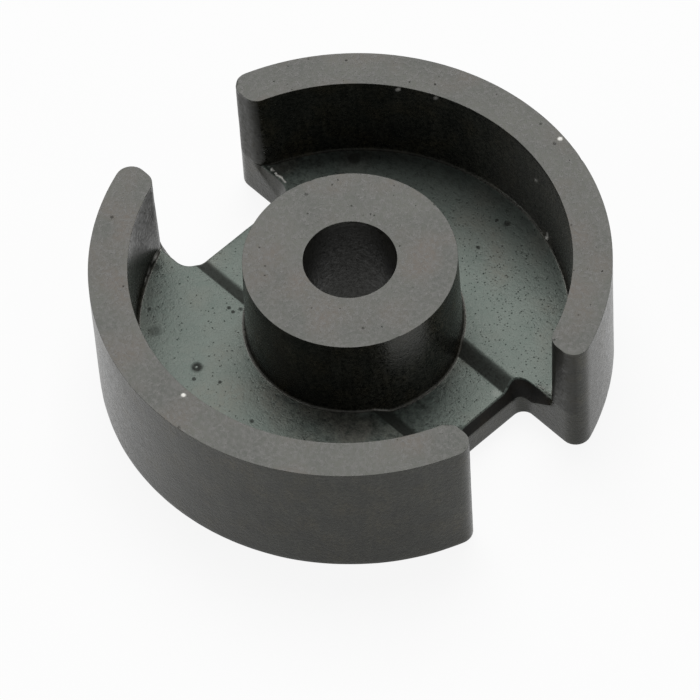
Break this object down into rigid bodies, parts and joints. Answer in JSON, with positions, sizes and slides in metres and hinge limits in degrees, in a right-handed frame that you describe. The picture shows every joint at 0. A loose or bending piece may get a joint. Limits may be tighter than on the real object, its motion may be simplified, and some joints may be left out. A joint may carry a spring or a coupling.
{
  "type": "ferrite pot core half",
  "caption": "Round ferrite pot core half with a flat base, a ring wall, a hollow centre post and wire slots, for a wound coil former.",
  "frame": {"origin": "centre of the bore on the flat underside", "axes": "+Z along the bore towards the mating faces; the wire slots open along +X and -X; +Y across the full outer diameter"},
  "size_m": [0.017, 0.018, 0.0054],
  "materials": {
    "ferrite": "sintered ferrite, as fired, with ground mating faces"
  },
  "bodies": {
    "root": {"core_half": "ferrite"}
  },
  "joints": []
}
